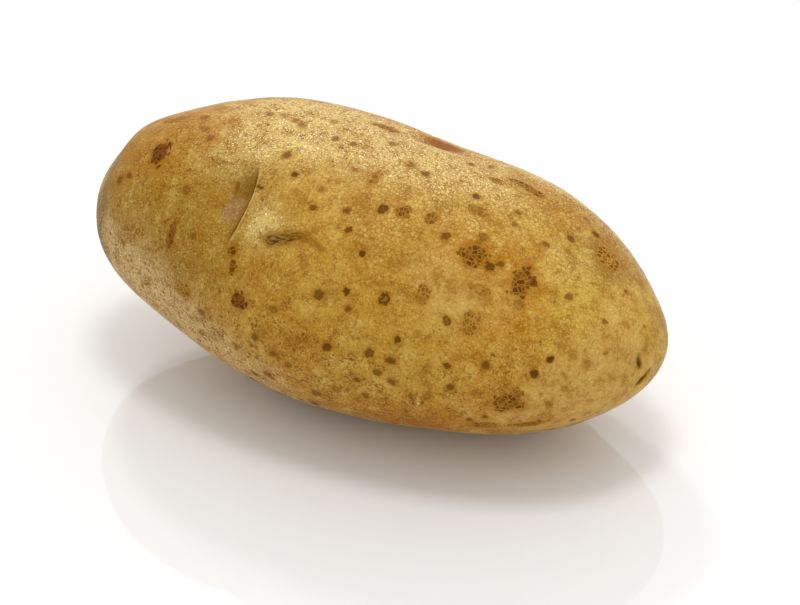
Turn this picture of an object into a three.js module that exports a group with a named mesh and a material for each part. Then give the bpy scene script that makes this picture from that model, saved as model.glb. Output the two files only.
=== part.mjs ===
// A potato tuber, lying on the small flat spot that it rests on.
// One solid, in millimetres, +Z up, the long axis along X.
// The blunt stem end points to -X and the bud end, where the eyes crowd, to +X.
// The origin is on the surface that the tuber rests on, under the middle of its bounding box.

import * as THREE from 'three';
import { mergeVertices } from 'three/addons/utils/BufferGeometryUtils.js';

// ---- driving dimensions (mm, degrees) ----
const HALF_LENGTH = 55;      // stem end to bud end, before the lie is applied
const HALF_WIDTH = 28.5;     // across, front to back
const HALF_HEIGHT = 25;      // belly to crown
const WIDTH_TAPER = 0.08;    // how much wider the bud half is than the stem half
const SIDE_SWEEP = -2.8;     // the two ends bend opposite ways, like a shallow S seen from above
const LIE_ANGLE = 3.4;       // the stem end lies this much higher than the bud end
const REST_DEPTH = 0.8;      // how deep the flat spot is worn into the belly
const FINENESS = 17;         // how finely the ball that the skin starts from is divided

// Swellings (height above 0) and hollows (height below 0) of the flesh.
// along: distance from the middle, towards the bud end
// around: angle about the long axis; 0 is the back, 90 the crown, 180 the front, 270 the belly
// spread: how far it reaches; height: how far it lifts the skin
const SWELLINGS = [
  { name: 'stem_back', along: -40, around: 57, spread: 9, height: -0.4 },
  { name: 'back_hump', along: -22, around: 57, spread: 11, height: 1.5 },
  { name: 'back_rise', along: -6, around: 57, spread: 9, height: 0.4 },
  { name: 'back_saddle', along: 10, around: 57, spread: 11, height: -0.8 },
  { name: 'back_shoulder', along: 24, around: 57, spread: 11, height: 1.0 },
  { name: 'back_slope', along: 50, around: 57, spread: 11, height: -1.1 },
  { name: 'stem_front_crown', along: -46, around: 124, spread: 14, height: 3.4 },
  { name: 'stem_flattening', along: -53, around: 0, spread: 12, height: -4.2 },
  { name: 'stem_tip', along: -54, around: 180, spread: 8, height: -1.1 },
  { name: 'stem_chin', along: -50, around: 236, spread: 11, height: 2.4 },
  { name: 'front_flank_hollow', along: -37, around: 236, spread: 11, height: -2.0 },
  { name: 'front_belly_hollow', along: 10, around: 236, spread: 11, height: -0.7 },
  { name: 'bud_flank_hollow', along: 24, around: 236, spread: 11, height: -1.5 },
  { name: 'bud_chin', along: 50, around: 236, spread: 11, height: -1.9 },
  { name: 'bud_nose', along: 53, around: -10, spread: 9, height: 2.0 },
];

// The eyes large enough to shape the skin: each is a hollow with a low brow beside it.
const EYES = [
  { name: 'front_eye', along: -21, around: 128, spread: 4.5, height: -1.0 },
  { name: 'front_eye_brow', along: -14, around: 124, spread: 4.0, height: 0.5 },
  { name: 'back_eye', along: 5, around: 64, spread: 3.6, height: -1.0 },
  { name: 'back_eye_brow', along: 6, around: 75, spread: 3.2, height: 0.4 },
  { name: 'bud_eye', along: 54, around: 150, spread: 2.6, height: -0.8 },
  { name: 'front_bud', along: 22, around: 190, spread: 2.4, height: 0.5 },
];

// The plain egg shape: a unit direction becomes a point on it.
function eggPoint(direction) {
  const station = direction.x;
  return new THREE.Vector3(
    HALF_LENGTH * station,
    HALF_WIDTH * direction.y * (1 + WIDTH_TAPER * station) + SIDE_SWEEP * station ** 3,
    HALF_HEIGHT * direction.z,
  );
}

// The way out of the skin at a unit direction, for the plain shape.
function outward(direction) {
  return new THREE.Vector3(
    direction.x / HALF_LENGTH,
    direction.y / HALF_WIDTH,
    direction.z / HALF_HEIGHT,
  ).normalize();
}

// The unit direction of a place given by its distance along and its angle around.
function directionOf(place) {
  const station = place.along / HALF_LENGTH;
  const ring = Math.sqrt(1 - station * station);
  const angle = THREE.MathUtils.degToRad(place.around);
  return new THREE.Vector3(station, ring * Math.cos(angle), ring * Math.sin(angle));
}

// Every swelling lifts the skin by a soft bell that fades with the distance from its middle.
const bells = [...SWELLINGS, ...EYES].map((place) => ({
  centre: eggPoint(directionOf(place)),
  spread: place.spread,
  height: place.height,
}));

function skinPoint(direction) {
  const base = eggPoint(direction);
  let lift = 0;
  for (const bell of bells) {
    const distance = base.distanceTo(bell.centre);
    lift += bell.height * Math.exp(-(distance ** 2) / (2 * bell.spread ** 2));
  }
  return base.addScaledVector(outward(direction), lift);
}

// A finely divided ball, with its shared corners merged, gives the directions.
function buildSkin() {
  let ball = new THREE.IcosahedronGeometry(1, FINENESS);
  ball.deleteAttribute('normal');
  ball.deleteAttribute('uv');
  ball = mergeVertices(ball, 1e-5);
  const corners = ball.attributes.position;
  const direction = new THREE.Vector3();
  for (let i = 0; i < corners.count; i += 1) {
    direction.fromBufferAttribute(corners, i).normalize();
    const point = skinPoint(direction);
    corners.setXYZ(i, point.x, point.y, point.z);
  }
  return ball;
}

// Tip the tuber to its lie, sink it by the rest depth and wear the belly flat there.
function layDown(skin) {
  skin.rotateY(THREE.MathUtils.degToRad(LIE_ANGLE));
  skin.computeBoundingBox();
  skin.translate(0, 0, -skin.boundingBox.min.z - REST_DEPTH);
  const corners = skin.attributes.position;
  for (let i = 0; i < corners.count; i += 1) {
    corners.setZ(i, Math.max(corners.getZ(i), 0));
  }
  skin.computeBoundingBox();
  const { min, max } = skin.boundingBox;
  skin.translate(-(min.x + max.x) / 2, -(min.y + max.y) / 2, 0);
  skin.computeVertexNormals();
  return skin;
}

const potato = new THREE.Mesh(
  layDown(buildSkin()),
  new THREE.MeshStandardMaterial({ color: 0xbb9239, roughness: 0.5, metalness: 0 }),
);
potato.name = 'potato';

const tuber = new THREE.Group();
tuber.add(potato);

export default tuber;
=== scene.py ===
# %% [markdown]
# # A potato on a glossy white top
# A potato is one natural piece: a swollen stem, rounded at both ends, wrapped in a thin corky skin.
# Its looks live in that skin, so this lesson makes one fine skin mesh over the plain solid, shapes its
# eyes, pores and scabs in the mesh, and paints it with one procedural material.

# %% Load the plain solid
import math
import bpy
import numpy as np
from mathutils import Matrix, Vector, noise
from mathutils.bvhtree import BVHTree


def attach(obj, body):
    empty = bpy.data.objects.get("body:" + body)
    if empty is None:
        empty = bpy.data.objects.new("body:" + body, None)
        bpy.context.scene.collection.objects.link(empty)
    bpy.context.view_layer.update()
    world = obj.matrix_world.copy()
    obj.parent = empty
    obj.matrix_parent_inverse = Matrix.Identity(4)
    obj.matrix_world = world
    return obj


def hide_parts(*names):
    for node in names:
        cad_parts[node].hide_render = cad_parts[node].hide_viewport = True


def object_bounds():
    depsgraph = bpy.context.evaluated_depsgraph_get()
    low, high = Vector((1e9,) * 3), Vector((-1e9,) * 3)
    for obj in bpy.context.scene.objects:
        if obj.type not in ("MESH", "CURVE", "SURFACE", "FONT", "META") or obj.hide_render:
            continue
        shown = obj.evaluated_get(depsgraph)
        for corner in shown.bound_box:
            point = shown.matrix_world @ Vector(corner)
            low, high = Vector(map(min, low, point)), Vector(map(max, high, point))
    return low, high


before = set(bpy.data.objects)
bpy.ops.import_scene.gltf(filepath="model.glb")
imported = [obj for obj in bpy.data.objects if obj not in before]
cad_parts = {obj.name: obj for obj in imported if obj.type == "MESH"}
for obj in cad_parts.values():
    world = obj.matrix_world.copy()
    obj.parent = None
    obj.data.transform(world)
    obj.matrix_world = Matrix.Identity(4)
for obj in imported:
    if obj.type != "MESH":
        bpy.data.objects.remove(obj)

MM = 0.001
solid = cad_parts["potato"]
solid_low, solid_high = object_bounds()
print("solid size in mm:", [round((b - a) / MM, 1) for a, b in zip(solid_low, solid_high)])

# %% [markdown]
# ## The camera
# The tuber is looked at from a little above its front, from the bud end's side, through a very long
# lens, so it shows hardly any perspective. A camera is placed by its target, its bearing around the
# vertical and its height angle; those three numbers are easier to reason about than a free position.

# %% Place the camera
TARGET = Vector((8.0, -8.3, 25.0)) * MM
BEARING = math.radians(25.9)
LOOK_DOWN = math.radians(33.5)
DISTANCE = 1.5
LENS_MM = 380.8

toward_camera = Vector((
    math.cos(LOOK_DOWN) * math.sin(BEARING),
    -math.cos(LOOK_DOWN) * math.cos(BEARING),
    math.sin(LOOK_DOWN),
))
camera_data = bpy.data.cameras.new("long_lens")
camera_data.lens = LENS_MM
camera_data.sensor_width = 36.0
camera = bpy.data.objects.new("camera", camera_data)
camera.location = TARGET + toward_camera * DISTANCE
camera.rotation_euler = (-toward_camera).to_track_quat("-Z", "Y").to_euler()
bpy.context.scene.collection.objects.link(camera)
bpy.context.scene.camera = camera
print("camera at", [round(v, 3) for v in camera.location])

# %% [markdown]
# ## The skin's grid
# A skin this smooth could be sculpted, or remeshed from the solid. Here it is blown up from a box of
# even squares instead, four long sides and two ends: the squares stay nearly even all over the tuber,
# with no pinched poles, and each side unfolds neatly for painting.

# %% Make the box of squares
LONG_CELLS = 192      # squares along the tuber
ROUND_CELLS = 96      # squares across each of the four sides

def box_faces():
    """Every square of the box: its four lattice corners and the name of its side."""
    n, m = LONG_CELLS, ROUND_CELLS
    squares = []
    for i in range(n):
        for j in range(m):
            squares.append((((i, j, 0), (i, j + 1, 0), (i + 1, j + 1, 0), (i + 1, j, 0)), "belly"))
            squares.append((((i, j, m), (i + 1, j, m), (i + 1, j + 1, m), (i, j + 1, m)), "crown"))
            squares.append((((i, 0, j), (i + 1, 0, j), (i + 1, 0, j + 1), (i, 0, j + 1)), "front"))
            squares.append((((i, m, j), (i, m, j + 1), (i + 1, m, j + 1), (i + 1, m, j)), "back"))
    for i in range(m):
        for j in range(m):
            stem_corners = ((0, i, j), (0, i, j + 1), (0, i + 1, j + 1), (0, i + 1, j))
            bud_corners = ((n, i, j), (n, i + 1, j), (n, i + 1, j + 1), (n, i, j + 1))
            squares.append((stem_corners, "stem_end"))
            squares.append((bud_corners, "bud_end"))
    return squares

squares = box_faces()
lattice = {}
for corners, side in squares:
    for corner in corners:
        lattice.setdefault(corner, len(lattice))
quads = np.array([[lattice[c] for c in corners] for corners, side in squares])
print("skin grid:", len(lattice), "points,", len(quads), "squares")

# %% [markdown]
# ## Shrink the grid onto the solid
# Each grid point is sent outwards from the middle of the tuber until it meets the solid. The solid is
# made of flat triangles, so the points are then smoothed a little with their neighbours, all but the
# ones on the flat spot that the tuber rests on.

# %% Send the points to the solid
WELL_OUTSIDE = 0.2      # metres; farther than any point of the tuber

middle = (solid_low + solid_high) / 2
half_size = (solid_high - solid_low) / 2
solid_mesh = solid.data
triangles = [tuple(p.vertices) for p in solid_mesh.polygons]
solid_tree = BVHTree.FromPolygons([v.co.copy() for v in solid_mesh.vertices], triangles)

def outward_hit(start, direction):
    """Where a line from inside the tuber leaves it, searched from outside so no facet is missed."""
    far = start + direction.normalized() * WELL_OUTSIDE
    hit = solid_tree.ray_cast(far, -direction)[0]
    return hit if hit is not None else start

points = np.zeros((len(lattice), 3))
for (i, j, k), index in lattice.items():
    along = math.tan(math.pi / 4 * (2 * i / LONG_CELLS - 1))
    across = math.tan(math.pi / 4 * (2 * j / ROUND_CELLS - 1))
    up = math.tan(math.pi / 4 * (2 * k / ROUND_CELLS - 1))
    ball = Vector((along, across, up)).normalized()
    direction = Vector((ball.x * half_size.x, ball.y * half_size.y, ball.z * half_size.z))
    points[index] = outward_hit(middle, direction)
print("lowest and highest point in mm:", points.min(0).round(4) * 1000, points.max(0).round(4) * 1000)

# %% Smooth the facets away
SMOOTHING_PASSES = 24
SMOOTHING_SHARE = 0.5         # how far a point goes towards its neighbours' mean in one pass
RESTING_BELOW = 0.02 * MM     # points this low are on the flat spot

edge_starts = quads.ravel()
edge_ends = np.roll(quads, -1, axis=1).ravel()
neighbour_count = np.bincount(edge_starts, minlength=len(points))
neighbour_count += np.bincount(edge_ends, minlength=len(points))

def neighbour_mean(values):
    """The mean of each point's neighbours, for one number per point."""
    total = np.bincount(edge_starts, values[edge_ends], len(points))
    total += np.bincount(edge_ends, values[edge_starts], len(points))
    return total / neighbour_count

resting = points[:, 2] < RESTING_BELOW
for _ in range(SMOOTHING_PASSES):
    relaxed = np.stack([neighbour_mean(points[:, axis]) for axis in range(3)], axis=1)
    points = points + (relaxed - points) * SMOOTHING_SHARE
    points[resting, 2] = 0.0
print("points on the flat spot:", int(resting.sum()))

def outward_normals(at):
    """One unit normal per point, from the squares around it."""
    across_quad = at[quads[:, 2]] - at[quads[:, 0]]
    other_way = at[quads[:, 3]] - at[quads[:, 1]]
    face_normals = np.cross(across_quad, other_way)
    total = np.zeros_like(at)
    for corner in range(4):
        for axis in range(3):
            total[:, axis] += np.bincount(quads[:, corner], face_normals[:, axis], len(at))
    return total / np.linalg.norm(total, axis=1, keepdims=True)

normals = outward_normals(points)

# %% [markdown]
# ## A way to say where things are
# Everything on a potato is placed by two numbers: how far along it is from the middle towards the bud
# end, in millimetres, and how far round it is, in degrees, with 0 at the back, 90 on the crown, 180 at
# the front and 270 on the belly. The tuber lies tipped, so the helper tips its axis the same way.

# %% Find a spot on the skin
AXIS_MIDDLE = Vector((-0.5, 0.0, 24.0)) * MM
LIE = Matrix.Rotation(math.radians(3.4), 3, "Y")     # the stem end lies a little higher
SIDE_SWEEP = -2.8              # mm; the two ends bend opposite ways, like a shallow S
HALF_LENGTH = 55.0             # mm
ROUNDNESS = (28.5, 25.0)       # half width and half height in mm

def spot(along, around):
    """The point of the skin at a distance along and an angle around, with its two directions."""
    angle = math.radians(around)
    sweep = SIDE_SWEEP * (along / HALF_LENGTH) ** 3
    start = AXIS_MIDDLE + LIE @ Vector((along * MM, sweep * MM, 0))
    outward = LIE @ Vector((0, ROUNDNESS[0] * math.cos(angle), ROUNDNESS[1] * math.sin(angle)))
    place = np.array(outward_hit(start, outward))
    nearest = int(((points - place) ** 2).sum(1).argmin())
    normal = normals[nearest]
    lengthwise = np.array(LIE @ Vector((1, 0, 0)))
    lengthwise = lengthwise - normal * (lengthwise @ normal)
    lengthwise /= np.linalg.norm(lengthwise)
    crosswise = np.cross(lengthwise, normal)
    if crosswise @ np.array(LIE @ Vector((0, -math.sin(angle), math.cos(angle)))) < 0:
        crosswise = -crosswise
    return place, lengthwise, crosswise

def reach_from(mark, size_along, size_around, lean=0.0):
    """Distance of every point from a spot, counted in sizes: 1 is the mark's own edge."""
    place, lengthwise, crosswise = spot(*mark)
    turn = math.radians(lean)
    one = math.cos(turn) * lengthwise + math.sin(turn) * crosswise
    two = -math.sin(turn) * lengthwise + math.cos(turn) * crosswise
    offset = (points - place) / MM
    third = offset - np.outer(offset @ one, one) - np.outer(offset @ two, two)
    depth = np.linalg.norm(third, axis=1) / (3.0 * max(size_along, size_around))
    return np.sqrt((offset @ one / size_along) ** 2 + (offset @ two / size_around) ** 2 + depth ** 2)

def soft_step(value, low, high):
    """0 below low, 1 above high, and a smooth rise between."""
    t = np.clip((value - low) / (high - low), 0, 1)
    return t * t * (3 - 2 * t)

print("crown above the middle, mm:", (spot(0, 90)[0] / MM).round(1))

# %% [markdown]
# ## Gentle lumps
# Flesh swells unevenly, so no potato is as smooth as an egg. Three layers of smooth noise lift and sink
# the skin by a fraction of a millimetre: broad lumps that bend the highlights, and finer ones that
# keep the outline from looking turned on a lathe. A few places are then made fuller or slimmer,
# as a sculptor would with one soft brush.

# %% Lift the broad and the fine lumps
def noise_at(scale_mm, offset):
    """Smooth noise at every point, with lumps about scale_mm wide."""
    scale = 1.0 / (scale_mm * MM)
    shift = Vector(offset)
    return np.array([noise.noise(Vector(p) * scale + shift) for p in points])

lift = 0.20 * noise_at(13.0, (3.1, 7.7, 1.9)) + 0.10 * noise_at(5.0, (11.3, 2.2, 8.4))
lift += 0.022 * noise_at(1.6, (5.5, 9.1, 4.2))
OVERALL_FULLNESS = 0.14     # mm; about what the smoothing took away
# along (mm), around (degrees), half length, half breadth and height (mm); below 0 is slimmer
FULLER = [
    (42, 36, 9, 8, 0.75), (53, 20, 5, 8, 0.55), (-38, 208, 10, 5, 0.65), (-32, 64, 10, 7, 0.45),
    (-51, 110, 4, 7, -0.55), (12, 212, 26, 4, 0.45), (-14, 66, 12, 8, -0.45), (10, 56, 8, 5, -0.30),
    (-48, 92, 3.0, 5, 0.60), (-33, 75, 5, 5, -0.25),
]
lift += OVERALL_FULLNESS
for along, around, length, breadth, height in FULLER:
    lift += height * np.exp(-0.5 * reach_from((along, around), length, breadth) ** 2)
print("lumps from", round(float(lift.min()), 2), "to", round(float(lift.max()), 2), "mm")

# %% [markdown]
# ## The eyes
# An eye is a bud asleep in a hollow, under a curved brow: the scar of a scale leaf. The largest faces
# the front near the stem end: a slope runs down to a sharp crease, and the brow stands up behind it.
# Each eye is made of the same three moves, a bowl, a crease along a line of spots and a raised brow.

# %% Measure from a bent line
def line_distance(line_spots):
    """Distance from a bent line of spots and which side, in mm, and how far along the line, 0 to 1."""
    best = np.full(len(points), np.inf)
    side = np.zeros(len(points))
    part = np.zeros(len(points))
    knots = [spot(*s)[0] for s in line_spots]
    pieces = len(knots) - 1
    for number, (a, b) in enumerate(zip(knots[:-1], knots[1:])):
        run = b - a
        t = np.clip((points - a) @ run / (run @ run), 0, 1)
        offset = points - (a + t[:, None] * run)
        distance = np.linalg.norm(offset, axis=1) / MM
        closer = distance < best
        best = np.where(closer, distance, best)
        across = np.cross(normals, run / np.linalg.norm(run))
        side = np.where(closer, np.einsum("ij,ij->i", offset, across) / MM, side)
        part = np.where(closer, (number + t) / pieces, part)
    return best, side, part

def bell(distance):
    """1 at the middle, fading smoothly to nearly 0 at three times the distance 1."""
    return np.exp(-0.5 * distance ** 2)

# %% Shape creases and brows
FAR_AWAY = 5.0                  # mm; farther than any crease line is drawn
STEP_LOW, STEP_TOP = -0.15, 0.45     # mm either side of the line; the skin steps up between them
END_TAPER = 0.8                 # below 1 keeps a crease deep until near its ends

crease_across = np.full(len(points), FAR_AWAY)
crease_keep = np.zeros(len(points))
eye_pale = np.zeros(len(points))
eye_shade = np.zeros(len(points))

def crease(line_spots, bowl_depth, bowl_width, brow_height, brow_width, darkness=1.0):
    """Sink a bowl up to a line and raise a brow beyond it; both die away towards the line's ends."""
    global lift, crease_across, crease_keep
    distance, side, part = line_distance(line_spots)
    across = distance * np.sign(side)
    taper = np.clip(np.sin(math.pi * part), 0, 1) ** END_TAPER
    step_up = soft_step(across, STEP_LOW, STEP_TOP)
    bowl = bell(across / bowl_width) * (1 - step_up)
    brow = bell((across - STEP_TOP) / brow_width) * step_up
    lift = lift + taper * (brow_height * brow - bowl_depth * bowl)
    closer = distance < np.abs(crease_across)
    crease_across = np.where(closer, np.clip(across, -FAR_AWAY, FAR_AWAY), crease_across)
    crease_keep = np.where(closer, taper * darkness, crease_keep)

# %% Shape the front eye
front_crease = [
    (-20.0, 111.5), (-19.3, 115), (-18.8, 120), (-18.45, 126),
    (-18.5, 131), (-18.8, 138), (-19.3, 143.5), (-19.8, 148),
]
crease(front_crease, bowl_depth=0.80, bowl_width=2.1, brow_height=0.38, brow_width=1.7)
lift -= 0.32 * bell(reach_from((-21.6, 126), 2.6, 3.4))        # the hollow before the crease
lift += 0.22 * bell(reach_from((-21.2, 134.5), 1.5, 2.2))      # the sleeping bud
lift -= 0.12 * bell(reach_from((-20.6, 133.4), 0.4, 0.4))      # the dark dot on it, sunk in
lift += 0.30 * bell(reach_from((-14.5, 134), 2.4, 2.6))        # the swelling behind the brow
eye_pale = np.maximum(eye_pale, bell(reach_from((-21.1, 132.8), 1.25, 2.1, 8)))
beside_lip = 1 - soft_step(crease_across, -0.3, 0.4)
hollow_shade = bell(reach_from((-19.6, 121.5), 2.2, 2.4))
lip_shade = bell(reach_from((-18.9, 134), 0.7, 3.6, -4))
eye_shade = np.maximum(eye_shade, 0.9 * beside_lip * hollow_shade)
eye_shade = np.maximum(eye_shade, 0.9 * beside_lip * lip_shade)
print("front eye: skin shaded on", int((eye_shade > 0.5).sum()), "points")

# %% Shape the back eye and the bud end's eyes
back_line = [(-2.5, 66), (1.2, 68), (4.5, 68.5), (8.0, 68.5), (12.0, 67)]
crease(back_line[::-1], bowl_depth=0.75, bowl_width=1.7, brow_height=0.30, brow_width=1.3,
       darkness=0.7)
lift -= 0.45 * bell(reach_from((5.8, 61), 4.2, 2.2))      # the hollow that it overhangs

notch_one = [(53.0, 112), (53.4, 125), (53.7, 140), (53.5, 152)]
crease(notch_one, bowl_depth=0.55, bowl_width=0.8, brow_height=0.40, brow_width=1.0)
notch_two = [(54.6, 232), (54.2, 232), (53.8, 225), (53.2, 216)]
crease(notch_two, bowl_depth=0.45, bowl_width=0.8, brow_height=0.35, brow_width=1.0)

# the small bud low on the front: its tip, the fold beside it and the groove between
lift += 0.50 * bell(reach_from((21.6, 189.5), 0.9, 1.1))
lift += 0.25 * bell(reach_from((23.2, 193.5), 0.7, 1.8))
lift -= 0.25 * bell(reach_from((22.6, 190.5), 0.5, 1.6))
print("lift now from", round(float(lift.min()), 2), "to", round(float(lift.max()), 2), "mm")

# %% [markdown]
# The eyes run round a potato in a loose spiral, so the sides turned away have theirs too: each is a
# shallow bowl with a short crease and a low brow on its bud-end side.

# %% Shape the eyes on the far sides
# along, around, length of the brow in mm
FAR_EYES = [
    (-30, 20, 5.0), (-8, 318, 6.0), (16, 8, 5.5), (33, 325, 5.0), (37, 20, 4.2), (-36, 262, 5.0),
    (46, 290, 4.0), (-46, 330, 3.6),
]
MEAN_RADIUS = 26.0     # mm, to turn a brow's length into an angle
for along, around, brow_length in FAR_EYES:
    swing = math.degrees(brow_length / 2 / MEAN_RADIUS)
    line = [(along - 1.0, around - swing), (along + 0.2, around - swing / 2), (along + 0.5, around),
            (along + 0.2, around + swing / 2), (along - 1.0, around + swing)]
    crease(line, bowl_depth=0.65, bowl_width=1.7, brow_height=0.35, brow_width=1.3)
    eye_pale = np.maximum(eye_pale, 0.8 * bell(reach_from((along - 1.8, around), 1.1, 1.7)))
    eye_shade = np.maximum(eye_shade, 0.7 * bell(reach_from((along - 0.8, around), 1.3, 2.6)))
print("far eyes:", len(FAR_EYES))

# %% [markdown]
# ## Pores
# Brown dots a millimetre or two wide stand all over the skin: lenticels, the pores that it breathes
# through. Old pores have a corky rim round a paler middle. Each one is a spot with a size and a tone,
# and the skin stores, at every point, how far the nearest pore is, so the paint can draw it sharply.

# %% Place the pores
# along, around, half width in mm, tone (1 is the darkest), rim (1 has a pale middle)
PORES = [
    (-35.5, 92, 0.9, 0.5, 0.3), (-33.7, 100, 0.9, 0.5, 0.3), (-31.5, 105, 0.8, 0.45, 0),
    (-46, 137, 0.9, 0.55, 0), (-44, 133, 0.8, 0.55, 0), (-31, 131, 0.9, 0.5, 0.5),
    (-26.5, 149, 0.7, 0.45, 0), (-24.5, 83, 0.8, 0.5, 0), (-22, 82, 0.8, 0.35, 0),
    (-17.3, 86, 0.9, 0.5, 0.4), (-13, 78, 0.8, 0.4, 0), (-10, 89, 0.8, 0.6, 0),
    (-6.5, 89, 0.7, 0.6, 0), (-0.8, 80, 0.8, 0.5, 0), (-16, 104, 0.9, 0.6, 0.2),
    (-12.4, 112, 0.75, 0.85, 0), (-17, 121, 0.45, 0.7, 0), (-2.8, 102, 0.7, 0.35, 0),
    (-6.4, 115, 0.7, 0.4, 0), (-6.2, 123, 0.75, 0.65, 0), (-0.2, 120, 0.7, 0.65, 0),
    (5.6, 115, 1.1, 0.85, 0.3), (1.7, 127, 0.75, 0.75, 0), (5.7, 134, 0.65, 0.85, 0),
    (5.2, 90, 0.8, 0.45, 0), (8.5, 92, 0.85, 0.65, 0), (13.4, 74, 0.7, 0.6, 0),
    (16.3, 69, 0.8, 0.5, 0), (18.7, 93, 0.75, 0.75, 0), (18, 116, 0.85, 0.65, 0),
    (23.8, 110, 0.95, 0.55, 0.3), (33.5, 97, 0.7, 0.6, 0.3), (26.3, 90, 0.7, 0.55, 0),
    (27.3, 97, 0.65, 0.5, 0), (36, 84, 0.8, 0.65, 0), (38, 66, 0.8, 0.75, 0),
    (35, 62, 0.7, 0.4, 0), (27.3, 121, 1.0, 0.85, 0.2), (28.8, 118, 0.7, 0.6, 0),
    (35.1, 119, 0.8, 0.7, 0), (41, 116, 0.8, 0.6, 0), (47.3, 80, 0.5, 0.6, 0),
    (0.4, 154, 1.0, 0.7, 0.4), (5.3, 149.5, 0.75, 0.85, 0), (6.5, 156, 0.65, 0.6, 0),
    (12.4, 148, 1.15, 0.9, 0.9), (-7.4, 166, 0.8, 0.5, 0.6), (-22.3, 183, 0.85, 0.55, 0),
    (-22.7, 197, 0.8, 0.45, 0), (-10.5, 182, 0.8, 0.6, 0), (-14.5, 192, 0.7, 0.4, 0),
    (4, 174, 0.95, 0.75, 0), (11.9, 171, 0.9, 0.7, 0.2), (15.9, 172, 0.85, 0.65, 0),
    (16.5, 162, 0.75, 0.8, 0), (13.7, 179, 0.8, 0.65, 0.3), (-6.7, 187, 0.7, 0.5, 0),
    (-3.7, 190, 0.8, 0.5, 0.5), (-8.4, 202, 0.9, 0.55, 0), (-11.5, 207, 0.8, 0.5, 0),
    (9.8, 186, 0.65, 0.6, 0), (5.6, 195, 0.8, 0.45, 0.8), (1.5, 202, 1.0, 0.65, 0.8),
    (11.3, 194, 0.75, 0.55, 0.6), (16.3, 182, 0.8, 0.6, 0), (24, 149, 0.85, 0.75, 0.6),
    (34.4, 132, 1.0, 0.4, 1.0), (42, 154, 0.75, 0.95, 0), (40.2, 164, 0.85, 0.85, 0),
    (25.8, 168, 0.7, 0.7, 0), (32.3, 164, 0.85, 0.65, 0), (26.8, 178, 0.75, 0.65, 0),
    (23, 185, 0.8, 0.45, 0.8), (20.4, 187, 0.75, 0.4, 0.6), (32.6, 195, 0.6, 0.6, 0),
    (29.8, 198, 0.6, 0.6, 0), (42.8, 184, 0.7, 0.4, 0), (45, 172, 0.6, 0.3, 0),
    (45.2, 149, 0.7, 0.3, 0.3), (47.5, 152, 0.8, 0.3, 0.9), (47.4, 116, 0.55, 0.55, 0),
    (49.4, 139, 0.5, 0.4, 0), (52, 84, 0.4, 0.4, 0), (-17.9, 120.5, 0.4, 0.8, 0),
    (-20.5, 133.4, 0.28, 0.9, 0), (-21.2, 135.2, 0.28, 0.8, 0), (-18.1, 138, 0.3, 0.6, 0),
]

# %% [markdown]
# The far sides need pores that nobody measured, so a seeded dice roll strews them there, keeping a
# few millimetres between neighbours as the plant does. The seed makes every run the same.

# %% Strew pores over the far sides
FAR_PORE_COUNT = 120
PORE_SPACING = 3.1 * MM
dice = np.random.default_rng(20)
far_pores = []
placed = [np.array(spot(p[0], p[1])[0]) for p in PORES]
while len(far_pores) < FAR_PORE_COUNT:
    along = float(dice.uniform(-51, 51))
    around = float(dice.uniform(208, 408)) % 360
    place = np.array(spot(along, around)[0])
    if min(np.linalg.norm(place - other) for other in placed) < PORE_SPACING:
        continue
    placed.append(place)
    size = float(dice.uniform(0.5, 1.0))
    far_pores.append((along, around, size, float(dice.uniform(0.35, 0.9)), float(dice.random() > 0.75)))
all_pores = PORES + far_pores
print("pores:", len(PORES), "placed by hand,", len(far_pores), "strewn")

# %% Measure the distance to the nearest pore
NO_MARK = 3.0     # three times a mark's size away, where nothing of it shows
pore_reach = np.full(len(points), NO_MARK)
pore_tone = np.zeros(len(points))
pore_rim = np.zeros(len(points))
for along, around, size, tone, rim in all_pores:
    stretch = float(dice.uniform(0.85, 1.18))
    reach = reach_from((along, around), size * stretch, size / stretch, float(dice.uniform(0, 180)))
    rim_and_pit = 0.05 * bell((reach - 1.0) / 0.45) - 0.09 * bell(reach / 0.6)
    lift += rim_and_pit * (reach < NO_MARK) * (0.4 + tone)
    nearer = reach < pore_reach
    pore_reach = np.where(nearer, reach, pore_reach)
    pore_tone = np.where(nearer, tone, pore_tone)
    pore_rim = np.where(nearer, rim, pore_rim)
print("points on a pore:", int((pore_reach < 1).sum()))

# %% [markdown]
# ## Scabs
# Where the skin has grated against soil or healed from a nick, it turns to cork in small patches. Up
# close a patch is a net: brown cells with paler seams between them. The mesh stores how near a patch
# is, how dark and how red it is; the paint fills in the cells, and the mesh lifts the patch slightly.

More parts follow.
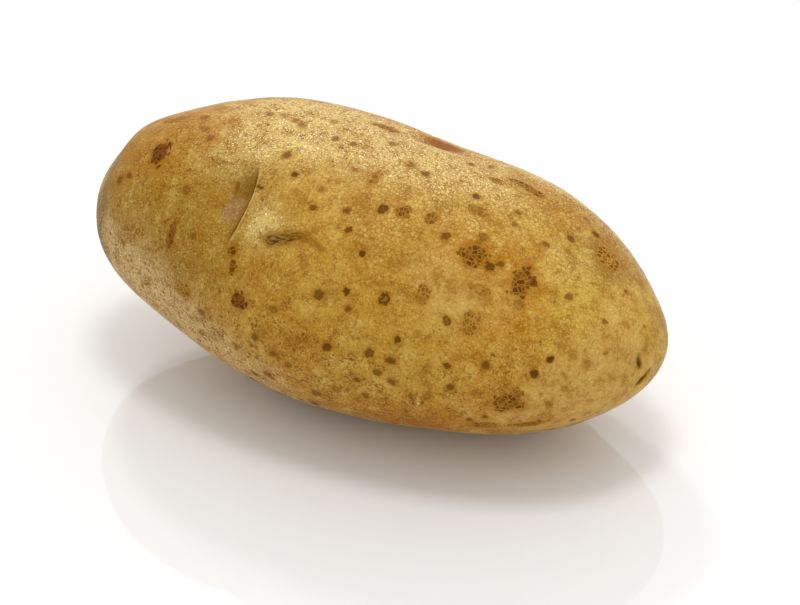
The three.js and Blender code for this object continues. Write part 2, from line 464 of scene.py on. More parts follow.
# %% Place the scabs
# along, around, half length, half breadth (mm), lean (degrees), tone, redness
SCABS = [
    (-39.3, 118, 1.6, 2.5, 0, 1.0, 1.0), (-14.6, 168, 1.5, 1.5, 0, 0.95, 0.9),
    (-26.7, 176, 1.6, 1.3, 0, 0.6, 0.1), (23.8, 119, 2.3, 2.3, 0, 0.95, 0.55),
    (33.2, 121, 1.8, 2.9, 0, 0.9, 0.6), (36.3, 184, 2.4, 1.7, 0, 0.9, 0.5),
    (37.8, 177, 1.1, 1.0, 0, 0.7, 0.4), (24.5, 72, 2.9, 1.0, 0, 0.8, 0.5),
    (19.4, 79, 1.3, 0.9, 0, 0.6, 0.6), (42, 73, 2.2, 2.0, 0, 0.80, 0.0),
    (1.3, 102, 0.8, 1.9, 0, 0.6, 0.4), (9.2, 113, 1.2, 1.2, 0, 0.75, 0.4),
    (14.3, 111, 1.1, 1.1, 0, 0.7, 0.4), (28, 147, 1.5, 1.9, 0, 0.65, 0.2),
    (18.5, 142, 1.1, 1.7, 0, 0.65, 0.3), (27.5, 132, 1.9, 0.8, 0, 0.35, 0.2),
    (20.3, 99, 1.7, 1.0, 0, 0.4, 0.8), (32.5, 203, 1.9, 1.0, 0, 0.7, 0.4),
    (39.5, 203, 3.0, 0.9, 0, 0.7, 0.5), (-41, 94, 2.2, 1.1, 0, 0.5, 0.6),
    (-4.5, 69, 2.7, 1.0, 0, 0.6, 0.7), (-31, 153, 0.7, 2.4, 0, 0.65, 0.9),
    (-18, 149.5, 0.8, 1.2, 0, 0.85, 0.6), (-17.2, 155.5, 0.8, 1.2, 0, 0.75, 0.7),
    (-22.1, 123, 0.35, 1.1, -12, 0.5, 1.0), (20.5, 189.5, 0.30, 1.0, -15, 0.8, 0.4),
    (22.3, 188.0, 0.25, 0.8, 20, 0.7, 0.4),
    (-19, 84, 1.0, 0.8, 0, 0.5, 0.7),
]
# the spots that the healed scar runs through, from its thick end
SCAR = [(-11.4, 139.5), (-9, 138), (-6.8, 135), (-4.2, 135.2), (-1.6, 137.5)]
FAR_SCAB_COUNT = 16
far_scabs = []
for _ in range(FAR_SCAB_COUNT):
    along = float(dice.uniform(-46, 46))
    around = float(dice.uniform(215, 410)) % 360
    sizes = dice.uniform(0.8, 2.4, 2)
    far_scabs.append((along, around, sizes[0], sizes[1], float(dice.uniform(0, 90)),
                      float(dice.uniform(0.5, 1.0)), float(dice.uniform(0.0, 0.9))))

# %% Measure the distance to the nearest scab
scab_reach = np.full(len(points), NO_MARK)
scab_tone = np.zeros(len(points))
scab_red = np.zeros(len(points))
ragged = 0.22 * noise_at(0.9, (1.4, 6.6, 3.9)) + 0.12 * noise_at(2.4, (7.2, 0.6, 5.1))
for along, around, length, breadth, lean, tone, red in SCABS + far_scabs:
    reach = reach_from((along, around), length, breadth, lean) + ragged
    nearer = reach < scab_reach
    scab_reach = np.where(nearer, reach, scab_reach)
    scab_tone = np.where(nearer, tone, scab_tone)
    scab_red = np.where(nearer, red, scab_red)
lift += 0.04 * soft_step(-scab_reach, -1.2, -0.7) * scab_tone
print("points on a scab:", int((scab_reach < 1).sum()))

# %% Measure the distance to the scar
scar_distance, scar_side, scar_part = line_distance(SCAR)
scar_across = np.clip(scar_distance * np.sign(scar_side), -FAR_AWAY, FAR_AWAY)
scar_half_width = 1.15 - 0.75 * scar_part
scar_reach = np.clip(scar_distance / scar_half_width + ragged, 0, NO_MARK)
lift -= 0.05 * bell(scar_reach)
print("points on the scar:", int((scar_reach < 1).sum()))

# %% [markdown]
# ## Where the skin changes colour
# The colour drifts over the tuber in broad washes: olive where light has reached it, amber where the
# skin is thick, cream where it was rubbed, beige where it is rough, burnt orange in the back eye's
# hollow, grey at the stem end. Some patches paint light and shade instead: the cream on the crown and
# the back shoulder is painted highlight where the lamps' light falls, the beige low on the front near
# the stem end is a painted reflection of the white top, and the olive and grey along the stem end's
# edge and high on the bud end's back are painted shade. Two washes say where the fine net and the
# stipple are strong. Each is a few soft round patches, stored as one number per point, from 0 to 1.

# %% Lay the washes
def wash(patches, unevenness=0.25, offset=(0.0, 0.0, 0.0)):
    """Soft patches as (along, around, half length mm, half breadth mm, strength)."""
    total = np.zeros(len(points))
    for along, around, length, breadth, strength in patches:
        total = total + strength * bell(reach_from((along, around), length, breadth))
    total = total * (1 + unevenness * 2 * noise_at(6.0, offset))
    return np.clip(total, 0, 1)

WASHES = {
    "olive_and_shade_wash": wash([
        (-34, 150, 9, 9, 1.0), (-24, 153, 6, 5.5, 0.8), (-23, 128, 3, 6, 0.5), (-34, 113, 6, 5, 0.6),
        # the patches at (-46, 150), on the stem end's edge, and (42.5, 71), high on the bud end's back, are
        # painted shade
        (-46, 150, 4, 9, 1.0), (-20, 122, 5, 4, 0.6),
        (-30, 300, 12, 10, 0.5), (10, 330, 9, 8, 0.4), (42.5, 71, 3.3, 4.2, 1.3), (44, 57, 9, 4, 0.7),
    ], 0.2, (4.0, 1.0, 2.0)),
    "rust_wash": wash([
        (-34, 116, 6.5, 4.5, 1.0), (-42, 116, 5, 6, 0.7), (-28, 90, 5, 3, 0.5), (-41, 90, 6, 6, 0.7),
        (10, 116, 6, 2.6, 0.55), (-16, 152, 6, 3, 0.5), (30, 66, 7, 5, 0.9), (38, 56, 6, 5, 0.9),
        (-47, 130, 4, 5, 0.6), (8, 128, 3, 1.6, 0.5),
        (-32, 103, 3.2, 2.2, 1.0), (21, 207, 9, 3.2, 1.5), (8, 204, 8, 2.6, 0.9),
        (5.5, 58, 4.5, 2.6, 0.8), (-9, 158, 3, 2, 0.5), (-1, 170, 4, 2.5, 0.5),
        (41, 73, 3, 4, 0.6), (-8, 262, 12, 10, 0.6), (22, 300, 10, 8, 0.5), (-20, 20, 10, 8, 0.5),
    ], 0.35, (5.0, 2.0, 7.0)),
    "amber_wash": wash([
        (33, 162, 5, 5, 1.0), (8, 168, 7, 5.5, 0.2), (24, 206, 9, 4, 1.0), (20, 194, 5, 4, 0.6),
        (-4, 180, 8, 5, 0.5), (24, 120, 3.6, 3, 0.9), (30, 114, 4, 2.5, 0.7), (34, 122, 3.4, 3.6, 0.95),
        (36, 134, 2.5, 4, 0.6), (10, 20, 12, 9, 0.6), (-10, 310, 12, 9, 0.5),
        (4, 204, 12, 4, 0.6),
    ], 0.35, (9.0, 3.0, 6.0)),
    "beige_and_reflection_wash": wash([
        # beige of rough skin; the first three patches, low on the front near the stem end, are also painted
        # reflection of the white top
        (-40, 193, 8, 5.0, 1.2), (-27, 200, 9, 5.0, 1.1), (-47, 192, 3.0, 4, 0.6), (-12, 206, 10, 3.6, 0.6),
        (-24, 235, 16, 10, 0.7), (12, 255, 18, 12, 0.6), (-44, 240, 8, 10, 0.6),
    ], 0.2, (2.0, 8.0, 5.0)),
    "cream_and_highlight_wash": wash([
        # cream of rubbed skin; the patches on the crown and the back shoulder are painted highlight
        (-18, 84, 7, 7, 0.95), (-5, 76, 8, 7, 0.85), (7, 86, 7.0, 5.0, 1.0), (18, 78, 6, 4, 0.5),
        (-25.5, 108, 3.2, 3.2, 0.6), (39, 96, 4, 4, 0.2), (-20.5, 94, 4, 3, 0.7),
        (21.5, 189.3, 0.6, 1.0, 0.9),
        (15, 50, 9, 3.8, 1.5), (29, 42, 7, 3.4, 1.3), (-14, 134.5, 2.2, 2.4, 0.8), (-14, 92, 3, 3, 0.6),
        (-12, 136, 3.0, 2.4, 0.4), (40, 10, 9, 9, 0.5), (-8, 340, 8, 8, 0.4),
    ], 0.3, (6.0, 4.0, 1.0)),
    "tan_wash": wash([
        (21, 126, 3.4, 4.0, 1.0), (22, 135, 3.6, 3.0, 0.9), (31, 134, 3.0, 3.0, 0.5),
        (28, 141, 3.5, 3.0, 0.6), (50, 125, 4, 11, 0.8), (45, 182, 8, 5, 1.0),
        (38, 190, 8, 3, 0.5), (0, 120, 5, 3, 0.3), (52, 200, 4, 8, 0.8), (48, 290, 7, 12, 0.6),
    ], 0.25, (3.0, 5.0, 2.0)),
    "yellow_wash": wash([
        (42, 106, 6, 6, 0.9), (-8, 118, 7, 4.5, 0.5), (-24, 104, 5, 4, 1.0), (27, 96, 7, 4, 0.4),
        (46, 150, 4, 5, 0.3), (-34, 60, 8, 8, 0.4), (28, 20, 8, 8, 0.4),
    ], 0.25, (3.0, 3.0, 8.0)),
    # the burnt hollow of the back eye, and a weaker burn along the low front edge
    "orange_wash": np.maximum(
        bell(reach_from((5.0, 57.0), 2.6, 1.45)) ** 0.6,
        0.50 * bell(reach_from((19, 208), 11, 2.8)),
    ),
    "stem_grey_and_shade_wash": wash([
        # grey of the stem end, deepened along its edge and at (41.5, 71) as painted shade
        (-50.2, 150, 2.0, 8, 1.0), (-49.5, 176, 1.8, 5, 0.7), (-50, 100, 2.5, 8, 0.6),
        (41.5, 71, 3.4, 3.8, 0.75),
    ], 0.3, (7.0, 4.0, 4.0)),
    "net_wash": wash([
        (12, 88, 11, 8, 1.0), (28, 86, 9, 8, 0.5), (30, 130, 12, 9, 0.22), (46, 110, 7, 12, 0.30),
        (8, 120, 10, 7, 0.35), (10, 30, 20, 12, 0.7), (-20, 330, 16, 14, 0.5),
    ], 0.3, (1.0, 3.0, 4.0)),
    "stipple_wash": wash([
        (-28, 186, 14, 6, 0.9), (-4, 190, 12, 6, 0.9), (27, 190, 11, 4.5, 0.7), (-38, 112, 8, 8, 0.5),
        (36, 168, 6, 6, 0.7), (32, 60, 9, 7, 0.6), (-18, 84, 8, 7, 0.5), (-4, 77, 8, 6, 0.5),
        (8, 86, 6, 5, 0.3),
        (20, 205, 12, 4, 0.9), (-41, 197, 8, 6, 0.7), (0, 250, 30, 16, 0.7), (-10, 20, 20, 14, 0.5),
    ], 0.3, (8.0, 3.0, 1.0)),
}
print("washes laid:", {name: round(float(values.mean()), 2) for name, values in WASHES.items()})

# %% [markdown]
# ## Make the skin mesh
# Now the lift is applied along the normals, the flat spot is kept level, and the points become one
# closed mesh. The measurements go in as point attributes for the paint to read, and each side of the
# box gets its own place in the unfolded map.

# %% Build the mesh
lift[resting] = 0.0
near_floor = soft_step(points[:, 2] / MM, 0.0, 1.5)
skin_points = points + normals * (lift * near_floor * MM)[:, None]
skin_points[:, 2] = np.maximum(skin_points[:, 2], 0.0)

skin_mesh = bpy.data.meshes.new("potato_skin")
skin_mesh.from_pydata(skin_points.tolist(), [], quads.tolist())
skin_mesh.update()
skin = bpy.data.objects.new("potato_skin", skin_mesh)
bpy.context.scene.collection.objects.link(skin)
skin_mesh.polygons.foreach_set("use_smooth", [True] * len(skin_mesh.polygons))

def store(name, values):
    """One number per point, for the paint to read."""
    attribute = skin_mesh.attributes.new(name, "FLOAT", "POINT")
    attribute.data.foreach_set("value", np.asarray(values, dtype=np.float32))

for name, values in {
    "pore_reach": pore_reach, "pore_tone": pore_tone, "pore_rim": pore_rim,
    "scab_reach": np.clip(scab_reach, 0, NO_MARK), "scab_tone": scab_tone, "scab_red": scab_red,
    "scar_reach": scar_reach, "scar_across": scar_across, "scar_part": scar_part,
    "crease_across": crease_across, "crease_keep": crease_keep,
    "eye_pale": eye_pale, "eye_shade": eye_shade, **WASHES,
}.items():
    store(name, values)
print("skin:", len(skin_mesh.vertices), "points,", len(skin_mesh.polygons), "faces")

# %% Unfold each side into the map
SIDE_PLACES = {
    "belly": (0, 0), "crown": (2, 0),
    "front": (0, 1), "back": (2, 1),
    "stem_end": (0, 2), "bud_end": (1, 2),
}
UNFOLD_AXES = {
    "belly": (0, 1), "crown": (0, 1),
    "front": (0, 2), "back": (0, 2),
    "stem_end": (1, 2), "bud_end": (1, 2),
}
EDGE_GAP = 0.006     # keeps the sides of the map from touching
places = np.zeros((len(squares), 4, 2))
for index, (corners, side) in enumerate(squares):
    across, up = UNFOLD_AXES[side]
    wide = 2 if side not in ("stem_end", "bud_end") else 1
    left, low = SIDE_PLACES[side]
    for c, corner in enumerate(corners):
        u = corner[across] / ROUND_CELLS / wide
        v = corner[up] / ROUND_CELLS
        places[index, c] = (
            (left + wide * u) / 4 * (1 - 2 * EDGE_GAP) + EDGE_GAP * (1 - 2 * u) + EDGE_GAP,
            (low + v) / 3 * (1 - 2 * EDGE_GAP) + EDGE_GAP * (1 - 2 * v) + EDGE_GAP,
        )
bake_map = skin_mesh.uv_layers.new(name="OFBake")
bake_map.data.foreach_set("uv", places.reshape(-1, 2).ravel())
print("map runs from", places.min().round(3), "to", places.max().round(3))

# %% [markdown]
# ## The skin's paint
# One material paints everything, from broad to fine: the washes first, then the fine net of the skin,
# then scabs and pores, then the eyes. The small functions below each add one kind of node, so the
# recipe that follows reads like layers of paint.

# %% Helpers for the paint
skin_paint = bpy.data.materials.new("potato_skin_paint")
skin_paint.use_nodes = True
tree = skin_paint.node_tree
tree.nodes.clear()

def plug(value, socket):
    """Join a socket to a socket, or set a plain number or colour."""
    if isinstance(value, bpy.types.NodeSocket):
        tree.links.new(value, socket)
    elif isinstance(value, tuple) and len(value) == 3 and socket.type == "RGBA":
        socket.default_value = (*value, 1.0)
    else:
        socket.default_value = value

def stored(name):
    """A number that the mesh stores at every point."""
    node = tree.nodes.new("ShaderNodeAttribute")
    node.attribute_name = name
    return node.outputs["Fac"]

def sums(operation, a, b=0.0, clamp=False):
    """One step of arithmetic on two values; clamp keeps the result from 0 to 1."""
    node = tree.nodes.new("ShaderNodeMath")
    node.operation = operation
    node.use_clamp = clamp
    plug(a, node.inputs[0])
    plug(b, node.inputs[1])
    return node.outputs[0]

def rise(value, low, high, start=0.0, end=1.0):
    """A smooth change from start to end while value goes from low to high."""
    node = tree.nodes.new("ShaderNodeMapRange")
    node.interpolation_type = "SMOOTHSTEP"
    plug(value, node.inputs["Value"])
    for name, number in (("From Min", low), ("From Max", high), ("To Min", start), ("To Max", end)):
        plug(number, node.inputs[name])
    return node.outputs["Result"]

def coat(under, over, amount, way="MIX"):
    """Lay one colour over another."""
    node = tree.nodes.new("ShaderNodeMix")
    node.data_type = "RGBA"
    node.blend_type = way
    plug(amount, node.inputs["Factor"])
    plug(under, node.inputs["A"])
    plug(over, node.inputs["B"])
    return node.outputs["Result"]

where = tree.nodes.new("ShaderNodeTexCoord").outputs["Object"]

def clouds(size_mm, detail=3.0, roughness=0.55, at=None):
    """Smooth random clouds, about size_mm wide, from 0 to 1."""
    node = tree.nodes.new("ShaderNodeTexNoise")
    plug(at if at is not None else where, node.inputs["Vector"])
    node.inputs["Scale"].default_value = 1.0 / (size_mm * MM)
    node.inputs["Detail"].default_value = detail
    node.inputs["Roughness"].default_value = roughness
    return node.outputs["Fac"], node.outputs["Color"]

def wobbled(amount_mm, size_mm):
    """The skin's coordinates, pushed about a little so that cells don't look machine made."""
    push = tree.nodes.new("ShaderNodeVectorMath")
    push.operation = "MULTIPLY_ADD"
    centred = tree.nodes.new("ShaderNodeVectorMath")
    centred.operation = "SUBTRACT"
    plug(clouds(size_mm, 2.0)[1], centred.inputs[0])
    centred.inputs[1].default_value = (0.5, 0.5, 0.5)
    plug(centred.outputs[0], push.inputs[0])
    push.inputs[1].default_value = (amount_mm * MM * 2,) * 3
    plug(where, push.inputs[2])
    return push.outputs[0]

def cells(size_mm, at, feature="DISTANCE_TO_EDGE"):
    """Random polygons about size_mm wide: the distance to their seams, or a number for each."""
    node = tree.nodes.new("ShaderNodeTexVoronoi")
    node.feature = feature
    plug(at, node.inputs["Vector"])
    node.inputs["Scale"].default_value = 1.0 / (size_mm * MM)
    return node.outputs["Distance"] if feature == "DISTANCE_TO_EDGE" else node.outputs["Color"]

# %% Mix the broad colours
GOLD = (0.53, 0.280, 0.024)
HONEY = (0.60, 0.355, 0.050)
OLIVE = (0.315, 0.168, 0.006)
RUST = (0.42, 0.180, 0.016)
AMBER = (0.52, 0.215, 0.014)
BEIGE = (0.65, 0.45, 0.20)
CREAM = (0.78, 0.605, 0.200)
STEM_GREY = (0.17, 0.112, 0.018)
TAN = (0.62, 0.365, 0.085)
YELLOW = (0.61, 0.385, 0.040)
ORANGE = (0.29, 0.062, 0.0005)

# clouds of brightness from a centimetre wide down to a third of a millimetre
broad, _ = clouds(11.0, 3.0)
middling, _ = clouds(3.4, 5.0, 0.62)
small, _ = clouds(1.3, 3.0, 0.6)
fine, _ = clouds(0.62, 2.0, 0.6)
grain, _ = clouds(0.34, 2.0, 0.6)
colour = coat(GOLD, HONEY, rise(broad, 0.38, 0.66))
# olive, cream, beige and stem grey here also lay painted shade, highlight and reflection where their washes
# say
for name, over, amount in (
    ("yellow_wash", YELLOW, 0.8), ("olive_and_shade_wash", OLIVE, 0.9), ("tan_wash", TAN, 0.85),
    ("cream_and_highlight_wash", CREAM, 0.85), ("beige_and_reflection_wash", BEIGE, 0.9), ("stem_grey_and_shade_wash", STEM_GREY, 0.9),
):
    colour = coat(colour, over, sums("MULTIPLY", stored(name), amount))
for name, over, amount in (("rust_wash", RUST, 0.8), ("amber_wash", AMBER, 0.85)):
    broken = sums("MULTIPLY", stored(name), rise(middling, 0.34, 0.60, 0.45, 1.0))
    colour = coat(colour, over, sums("MULTIPLY", broken, amount))
print("paint nodes after the broad colours:", len(tree.nodes))

# %% [markdown]
# Then the fine marks that the whole skin has: amber smears a few millimetres wide, a net of tiny
# scales with brown seams, and a stipple of dark and light grains at the limit of what the eye can see;
# the light grains on the cream, and the glints after them, are painted highlight. Random clouds cut off
# at a level make the smears and grains, and random polygons make the net.

# %% Smear the amber
SMEAR = (0.33, 0.130, 0.006)
SCALE = (0.86, 0.63, 0.17)
patchy, _ = clouds(2.3, 3.0, 0.6, wobbled(1.2, 5.0))
colour = coat(colour, SMEAR, rise(middling, 0.49, 0.66, 0.0, 0.62))
colour = coat(colour, SMEAR, rise(patchy, 0.53, 0.70, 0.0, 0.45))
colour = coat(colour, SCALE, rise(middling, 0.46, 0.30, 0.0, 0.34))

# %% Draw the net of scales
SEAM = (0.28, 0.112, 0.004)
NET_CELL_MM = 0.84
net_place = wobbled(0.24, 1.1)
net = cells(NET_CELL_MM, net_place)
net_here = stored("net_wash")
seams = rise(net, 0.0, 0.16, 1.0, 0.0)
colour = coat(colour, SEAM, sums("MULTIPLY", seams, rise(net_here, 0.0, 1.0, 0.10, 0.62)))
scale_numbers = tree.nodes.new("ShaderNodeSeparateColor")
plug(cells(NET_CELL_MM, net_place, "F1"), scale_numbers.inputs[0])
pale_scales = sums("MULTIPLY", rise(scale_numbers.outputs[0], 0.45, 1.0), rise(net, 0.04, 0.24))
colour = coat(colour, SCALE, sums("MULTIPLY", pale_scales, rise(net_here, 0.0, 1.0, 0.10, 0.30)))

# %% Stipple it with grains
DOT = (0.20, 0.070, 0.004)
stipple_here = stored("stipple_wash")
off_the_tan = rise(stored("tan_wash"), 0.2, 0.9, 1.0, 0.45)
smooth_here = sums("MULTIPLY", off_the_tan, rise(net_here, 0.2, 1.0, 1.0, 0.50))
busy_here = sums("MULTIPLY", smooth_here, rise(patchy, 0.36, 0.64, 0.35, 1.15))
dots = sums("MULTIPLY", rise(fine, 0.49, 0.66), busy_here)
colour = coat(colour, DOT, sums("MULTIPLY", dots, rise(stipple_here, 0.0, 1.0, 0.34, 0.85)))
dark_grain = sums("MULTIPLY", rise(grain, 0.52, 0.70), busy_here)
colour = coat(colour, DOT, sums("MULTIPLY", dark_grain, rise(stipple_here, 0.0, 1.0, 0.34, 0.62)))
# the light grains follow the cream: partly pale scales, partly painted glints of highlight
light_grain_and_glints = rise(grain, 0.46, 0.28)
grain_strength = rise(stored("cream_and_highlight_wash"), 0.0, 1.0, 0.34, 0.80)
colour = coat(colour, SCALE, sums("MULTIPLY", light_grain_and_glints, grain_strength))
spots, _ = clouds(1.0, 2.0, 0.55, wobbled(0.4, 0.9))
colour = coat(colour, SMEAR, sums("MULTIPLY", rise(spots, 0.58, 0.72), 0.50))

# %% Paint the glints: bright specks of painted highlight
# bright specks painted into the colour as highlights, most where the cream and beige washes are
GLINT = (1.0, 0.90, 0.55)
glint_noise, _ = clouds(0.30, 1.0, 0.5, wobbled(0.2, 0.7))
painted_glints_here = sums("ADD", stored("cream_and_highlight_wash"), sums("MULTIPLY", stored("beige_and_reflection_wash"), 0.5))
glints = sums("MULTIPLY", rise(glint_noise, 0.59, 0.71), rise(painted_glints_here, 0.0, 1.0, 0.12, 1.0))
colour = coat(colour, GLINT, glints)

# %% Burn the hollow orange
orange_here = stored("orange_wash")
burnt = coat(ORANGE, DOT, rise(fine, 0.46, 0.62, 0.0, 0.45))
burnt = coat(burnt, DOT, rise(orange_here, 0.70, 0.98, 0.0, 0.55))
colour = coat(colour, burnt, rise(orange_here, 0.20, 0.80, 0.0, 0.90))
print("paint nodes after the fine marks:", len(tree.nodes))

# %% [markdown]
# A scab is drawn with its own net: the cells near its middle are always brown, and each cell nearer the
# edge has a number of its own that decides whether it still belongs, so the patch ends raggedly.

# %% Paint the scabs
SCAB_BROWN = (0.150, 0.046, 0.001)
SCAB_RED = (0.075, 0.013, 0.001)
SCAB_SEAM = (0.55, 0.290, 0.035)
SCAB_RED_SEAM = (0.22, 0.070, 0.006)
SCAB_GLOW = (0.36, 0.130, 0.005)
SCAB_CELL_MM = 0.92
scab_place = wobbled(0.25, 1.2)
scab_net = cells(SCAB_CELL_MM, scab_place)
scab_numbers = tree.nodes.new("ShaderNodeSeparateColor")
plug(cells(SCAB_CELL_MM, scab_place, "F1"), scab_numbers.inputs[0])
scab_reach_here = stored("scab_reach")
scab_tone_here = stored("scab_tone")
scab_red_here = stored("scab_red")
glow = rise(scab_reach_here, 0.6, 2.0, 0.70, 0.0)
colour = coat(colour, SCAB_GLOW, sums("MULTIPLY", glow, scab_tone_here))
cell_limit = rise(scab_numbers.outputs[0], 0.0, 1.0, 0.85, 1.35)
patch = rise(sums("SUBTRACT", cell_limit, scab_reach_here), -0.10, 0.16)
scab_colour = coat(SCAB_BROWN, SCAB_RED, scab_red_here)
seam_colour = coat(SCAB_SEAM, SCAB_RED_SEAM, scab_red_here)
scab_colour = coat(scab_colour, seam_colour, rise(scab_numbers.outputs[1], 0.4, 1.0, 0.0, 0.40))
scab_colour = coat(scab_colour, seam_colour, rise(scab_net, 0.03, 0.13, 0.95, 0.0))
scab_colour = coat(scab_colour, seam_colour, rise(grain, 0.52, 0.75, 0.0, 0.25))
scab_strength = rise(scab_tone_here, 0.0, 1.0, 0.15, 0.92)
colour = coat(colour, scab_colour, sums("MULTIPLY", patch, scab_strength))

# %% [markdown]
# The healed scar is streaked along its length, so its noise is laid out on a grid of its own: across
# the scar and along it, stretched the long way. It fades towards its thin end.

# %% Paint the scar
SCAR_BROWN = (0.085, 0.030, 0.003)
scar_grid = tree.nodes.new("ShaderNodeCombineXYZ")
plug(sums("MULTIPLY", stored("scar_across"), 2.6), scar_grid.inputs[0])
plug(sums("MULTIPLY", stored("scar_part"), 7.0), scar_grid.inputs[1])
streak_noise = tree.nodes.new("ShaderNodeTexNoise")
plug(scar_grid.outputs[0], streak_noise.inputs["Vector"])
streak_noise.inputs["Scale"].default_value = 1.0
streak_noise.inputs["Detail"].default_value = 3.0
streaks = rise(streak_noise.outputs["Fac"], 0.40, 0.60)
scar_edge = sums("ADD", stored("scar_reach"), rise(fine, 0.2, 0.8, -0.4, 0.4))
scar_here = rise(scar_edge, 0.2, 1.7, 1.0, 0.0)
scar_fade = rise(stored("scar_part"), 0.30, 0.85, 1.0, 0.28)
colour = coat(colour, SMEAR, rise(stored("scar_reach"), 0.6, 2.6, 0.55, 0.0))
scar_strength = sums("MULTIPLY", scar_here, scar_fade)
scar_strength = sums("MULTIPLY", scar_strength, rise(streaks, 0.0, 1.0, 0.35, 1.0))
colour = coat(colour, SCAR_BROWN, scar_strength)

# %% Paint the pores
PORE_BROWN = (0.095, 0.028, 0.001)
PORE_MIDDLE = (0.32, 0.155, 0.022)
pore_reach_here = stored("pore_reach")
pore_edge = sums("ADD", pore_reach_here, rise(fine, 0.25, 0.75, -0.30, 0.30))
colour = coat(colour, SCAB_GLOW, rise(pore_reach_here, 0.9, 2.0, 0.35, 0.0))
pore = rise(pore_edge, 0.70, 1.15, 1.0, 0.0)
middle = sums("MULTIPLY", rise(pore_edge, 0.28, 0.60, 1.0, 0.0), stored("pore_rim"))
pore_colour = coat(PORE_BROWN, PORE_MIDDLE, sums("MULTIPLY", middle, 0.85))
pore_colour = coat(pore_colour, PORE_MIDDLE, rise(grain, 0.5, 0.75, 0.0, 0.35))
pore_strength = rise(stored("pore_tone"), 0.0, 1.0, 0.10, 0.95)
colour = coat(colour, pore_colour, sums("MULTIPLY", pore, pore_strength))
print("paint nodes after the marks:", len(tree.nodes))

# %% [markdown]
# In an eye the hollow gets painted shade, the sleeping bud is a pale, bare grey brown with a bloom on
# it, and the crease gets a dark line of painted shade with a pale line of painted highlight beside it,
# on the lip where the brow folds over.

# %% Paint the eyes
EYE_SHADE = (0.175, 0.070, 0.002)
EYE_SKIN = (0.335, 0.180, 0.070)
EYE_BLOOM = (0.60, 0.41, 0.18)
CREASE_SHADE = (0.10, 0.042, 0.003)
LIP_HIGHLIGHT = (0.74, 0.53, 0.15)
colour = coat(colour, EYE_SHADE, sums("MULTIPLY", stored("eye_shade"), 0.90))
eye_edge = sums("ADD", stored("eye_pale"), rise(fine, 0.2, 0.8, -0.15, 0.15))
eye_skin = coat(EYE_SKIN, SEAM, rise(fine, 0.50, 0.66, 0.0, 0.65))
eye_skin = coat(eye_skin, EYE_BLOOM, rise(grain, 0.47, 0.32, 0.0, 0.75))
colour = coat(colour, eye_skin, rise(eye_edge, 0.20, 0.75, 0.0, 0.85))
crease_here = stored("crease_keep")
across_here = stored("crease_across")
from_shade_line = sums("ABSOLUTE", sums("ADD", across_here, 0.18))
from_lip = sums("ABSOLUTE", sums("SUBTRACT", across_here, 0.52))
# the dark line just before the crease is painted shade, as if cast by the brow's lip
crease_shade_line = sums("MULTIPLY", rise(from_shade_line, 0.08, 0.50, 0.95, 0.0), crease_here)
# the pale line on the brow's lip is a painted highlight where the lip catches the light
broken_lip_highlight = sums("MULTIPLY", crease_here, rise(small, 0.40, 0.62, 0.85, 0.35))
lip_highlight_line = sums("MULTIPLY", rise(from_lip, 0.05, 0.36, 0.85, 0.0), broken_lip_highlight)
colour = coat(colour, CREASE_SHADE, crease_shade_line)
colour = coat(colour, LIP_HIGHLIGHT, lip_highlight_line)

# %% [markdown]
# The surface relief below a tenth of a millimetre is left to a bump: domed scales, raised scab cells
# and grain. It breaks the highlight of the lamps into glints, as waxy cork cells do.

# %% Relief and shine
relief = sums("MULTIPLY", rise(net, 0.0, 0.30), sums("MULTIPLY", net_here, 0.030))
relief = sums("ADD", relief, sums("MULTIPLY", fine, 0.060))
relief = sums("ADD", relief, sums("MULTIPLY", grain, 0.045))
relief = sums("ADD", relief, sums("MULTIPLY", middling, 0.10))
scab_relief = sums("MULTIPLY", rise(scab_net, 0.0, 0.2), sums("MULTIPLY", patch, 0.03))
relief = sums("ADD", relief, scab_relief)
bump = tree.nodes.new("ShaderNodeBump")
bump.inputs["Distance"].default_value = MM
bump.inputs["Strength"].default_value = 1.0
plug(relief, bump.inputs["Height"])
shine = rise(small, 0.3, 0.7, 0.34, 0.46)
shine = sums("ADD", shine, sums("MULTIPLY", stored("beige_and_reflection_wash"), 0.12))
shine = sums("ADD", shine, sums("MULTIPLY", patch, 0.10), clamp=True)
surface = tree.nodes.new("ShaderNodeBsdfPrincipled")
plug(colour, surface.inputs["Base Color"])
plug(shine, surface.inputs["Roughness"])
plug(bump.outputs["Normal"], surface.inputs["Normal"])
surface.inputs["IOR"].default_value = 1.45
surface.inputs["Specular IOR Level"].default_value = 0.07
surface.inputs["Specular Tint"].default_value = (1.0, 0.70, 0.25, 1.0)
ending = tree.nodes.new("ShaderNodeOutputMaterial")
plug(surface.outputs["BSDF"], ending.inputs["Surface"])
skin_mesh.materials.append(skin_paint)
print("paint nodes:", len(tree.nodes))

# %% [markdown]
# ## Tell the frame what the skin is
# The skin rides on the tuber's one body, takes the place of the plain solid, and takes its finish from
# the skin slot.

# %% Hand the skin to the frame
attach(skin, "root")
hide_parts("potato")

# %% [markdown]
# ## The glossy top and the light
# The potato lies on a glossy white top in a white room, a little brighter behind than in front. The
# room's own light fills the shadows, a soft lamp overhead draws the shadow's edge, and a small one
# behind sets the glints along the crown. The top's gloss mirrors the underside faintly.

# %% Make the top
TOP_SIZE = 6.0          # metres, wide enough to pass out of the picture on every side
TOP_HEIGHT = -0.0001    # a hair under the tuber's flat spot, so the two faces don't fight
bpy.ops.mesh.primitive_plane_add(size=TOP_SIZE, location=(0, 0, TOP_HEIGHT))
glossy_top = bpy.context.object
glossy_top.name = "glossy_top"
top_finish = bpy.data.materials.new("white_gloss")
top_finish.use_nodes = True
top_shader = top_finish.node_tree.nodes["Principled BSDF"]
top_shader.inputs["Base Color"].default_value = (0.90, 0.90, 0.90, 1.0)
top_shader.inputs["Roughness"].default_value = 0.03
top_shader.inputs["IOR"].default_value = 1.5
glossy_top.data.materials.append(top_finish)

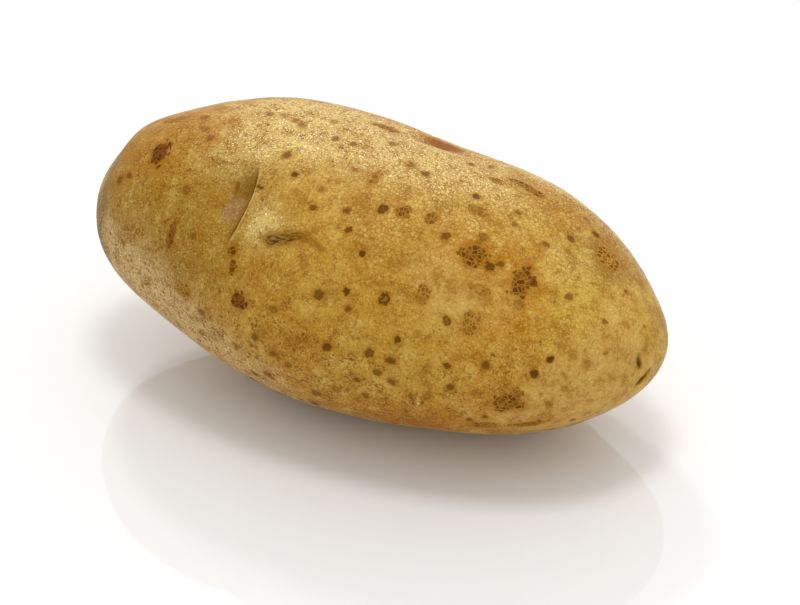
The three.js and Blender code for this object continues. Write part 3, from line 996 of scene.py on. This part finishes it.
# %% Light the room
ROOM_LIGHT = 0.64        # the brightness all round, before the walls' extra
WALL_FALLOFF = 4.0       # the higher, the narrower a wall's bright patch
# turned, raised, extra brightness of that wall
WALLS = ((0, 20, 0.60), (180, 45, 0.26), (90, 35, 0.34))
away = Vector((-toward_camera.x, -toward_camera.y, 0)).normalized()
sideways = Vector((-away.y, away.x, 0)) * -1

def heading(turn, height):
    """A direction: turned from straight behind the tuber towards the right, and raised, in degrees."""
    turn, height = math.radians(turn), math.radians(height)
    level = away * math.cos(turn) + sideways * math.sin(turn)
    return (level * math.cos(height) + Vector((0, 0, math.sin(height)))).normalized()

room = bpy.data.worlds.new("white_room")
room.use_nodes = True
room_tree = room.node_tree
room_light = room_tree.nodes["Background"]
room_light.inputs["Color"].default_value = (1.0, 1.0, 1.0, 1.0)
looking = room_tree.nodes.new("ShaderNodeTexCoord").outputs["Generated"]
brightness = None
for turn, height, extra in WALLS:
    facing = room_tree.nodes.new("ShaderNodeVectorMath")
    facing.operation = "DOT_PRODUCT"
    room_tree.links.new(looking, facing.inputs[0])
    facing.inputs[1].default_value = heading(turn, height)
    ahead = room_tree.nodes.new("ShaderNodeMath")
    ahead.operation = "MAXIMUM"
    room_tree.links.new(facing.outputs["Value"], ahead.inputs[0])
    ahead.inputs[1].default_value = 0.0
    narrowed = room_tree.nodes.new("ShaderNodeMath")
    narrowed.operation = "POWER"
    room_tree.links.new(ahead.outputs[0], narrowed.inputs[0])
    narrowed.inputs[1].default_value = WALL_FALLOFF
    added = room_tree.nodes.new("ShaderNodeMath")
    added.operation = "MULTIPLY_ADD"
    room_tree.links.new(narrowed.outputs[0], added.inputs[0])
    added.inputs[1].default_value = extra
    if brightness is None:
        added.inputs[2].default_value = ROOM_LIGHT
    else:
        room_tree.links.new(brightness, added.inputs[2])
    brightness = added.outputs[0]
room_tree.links.new(brightness, room_light.inputs["Strength"])
bpy.context.scene.world = room
print("walls lit:", len(WALLS))

# %% Hang the lamps
LAMP_AIM = Vector((0, 0, 0.02))     # metres; inside the tuber

def soft_lamp(name, size, power, place):
    """A square lamp that faces the tuber."""
    data = bpy.data.lights.new(name, "AREA")
    data.shape = "SQUARE"
    data.size = size
    data.energy = power
    lamp = bpy.data.objects.new(name, data)
    lamp.location = place
    lamp.rotation_euler = (LAMP_AIM - Vector(place)).to_track_quat("-Z", "Y").to_euler()
    bpy.context.scene.collection.objects.link(lamp)

soft_lamp("overhead_lamp", 0.25, 2.4, heading(0, 88))
soft_lamp("back_lamp", 0.10, 1.6, heading(-12, 40))
bpy.context.scene.view_settings.view_transform = "Standard"
